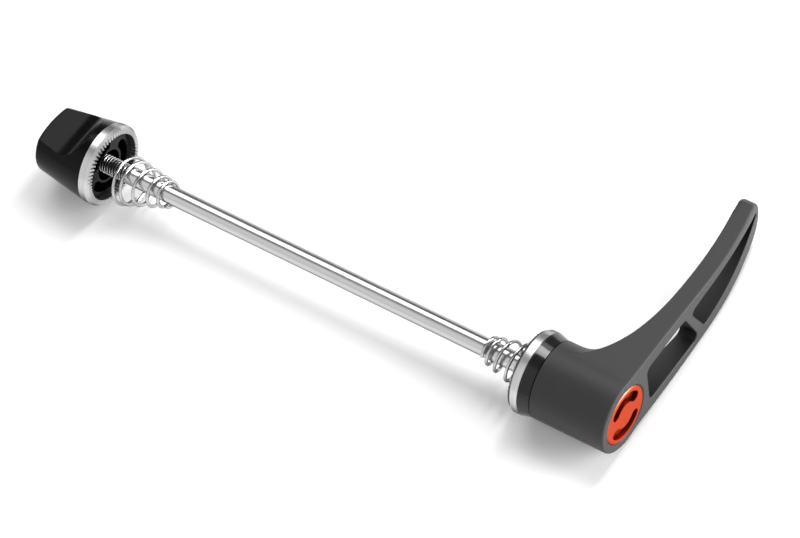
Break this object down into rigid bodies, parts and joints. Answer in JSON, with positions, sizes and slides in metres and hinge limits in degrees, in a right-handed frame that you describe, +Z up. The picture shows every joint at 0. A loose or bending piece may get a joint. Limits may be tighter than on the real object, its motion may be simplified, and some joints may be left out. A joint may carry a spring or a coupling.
{
  "type": "quick release skewer",
  "caption": "Steel wheel skewer with a tapered finger nut, toothed clamp rings, conical springs and a curved lever that tightens the rod through an inner spline coupling.",
  "frame": {"origin": "on the rod's axis, in the plane of the lever-side clamp ring's tooth tips", "axes": "+X along the rod from the nut to the lever, +Z up with the skewer lying on a flat surface"},
  "size_m": [0.1795, 0.082, 0.0228],
  "materials": {
    "rod_steel": "polished steel",
    "ring_steel": "satin steel",
    "spring_steel": "bright drawn wire",
    "nut_black": "gloss black anodised",
    "collar_black": "gloss black anodised",
    "lever_grey": "matte dark grey anodised",
    "cap_red": "orange-red anodised",
    "hub_steel": "machined steel",
    "washer_plastic": "plain bearing plastic"
  },
  "bodies": {
    "rod": {"skewer_rod": "rod_steel", "drive_hub": "hub_steel", "spring_seat": "hub_steel", "retaining_screw": "hub_steel", "return_spring": "spring_steel", "lever_spring": "spring_steel"},
    "clamp_head": {"lever_clamp_ring": "ring_steel", "thrust_collar": "collar_black", "thrust_washer": "washer_plastic"},
    "handle": {"lever": "lever_grey", "spline_ring": "hub_steel", "end_cap": "cap_red"},
    "coil_nut_side": {"nut_spring": "spring_steel"},
    "nut": {"nut_body": "nut_black", "nut_clamp_ring": "ring_steel"}
  },
  "joints": [
    {"name": "clamp_ring_turn", "type": "hinge", "parent": "rod", "child": "clamp_head", "pos_m": [0, 0, 0], "axis": [1, 0, 0], "continuous": true},
    {"name": "lever_pull", "type": "slide", "parent": "rod", "child": "handle", "axis": [1, 0, 0], "range_m": [0, 0.0036], "stiffness_N_per_m": 1500, "springref_m": -0.0027, "deforming": ["return_spring"]},
    {"name": "nut_travel", "type": "slide", "parent": "rod", "child": "coil_nut_side", "axis": [1, 0, 0], "range_m": [-0.0113, 0.0091]},
    {"name": "nut_spin", "type": "hinge", "parent": "coil_nut_side", "child": "nut", "pos_m": [-0.1308, 0, 0], "axis": [1, 0, 0], "range_deg": [-5040, 4050]}
  ],
  "couplings": [
    {"joint": "nut_travel", "follows": "nut_spin", "m_per_rad": 0.00012732}
  ]
}
